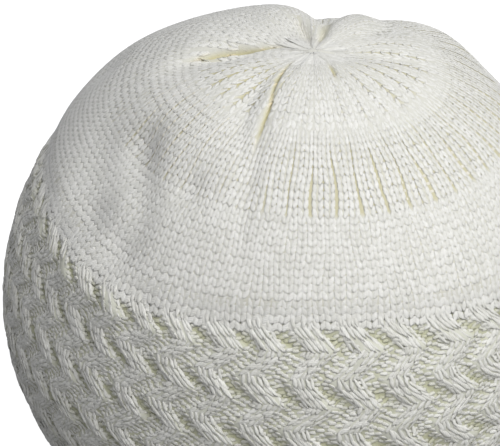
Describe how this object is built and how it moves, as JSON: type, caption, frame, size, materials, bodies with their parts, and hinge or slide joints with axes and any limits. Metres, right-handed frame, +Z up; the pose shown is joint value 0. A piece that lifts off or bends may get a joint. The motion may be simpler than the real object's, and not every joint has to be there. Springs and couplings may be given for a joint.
{
  "type": "prayer cap",
  "caption": "Round knitted prayer cap: a hollow dome gathered and folded at the top, on a thicker zigzag-ribbed band that hugs the head.",
  "frame": {"origin": "middle of the rim, on the surface that the cap rests on", "axes": "+Z up through the gather at the top; the front of the cap, as pictured, faces -Y; +X is to the right seen from the front"},
  "size_m": [0.1779, 0.1778, 0.1314],
  "materials": {
    "crown_yarn": "knitted off-white cotton yarn, matt with a soft sheen",
    "band_yarn": "zigzag-ribbed knit of the same off-white yarn, matt"
  },
  "bodies": {
    "root": {"crown": "crown_yarn", "band": "band_yarn"}
  },
  "joints": []
}
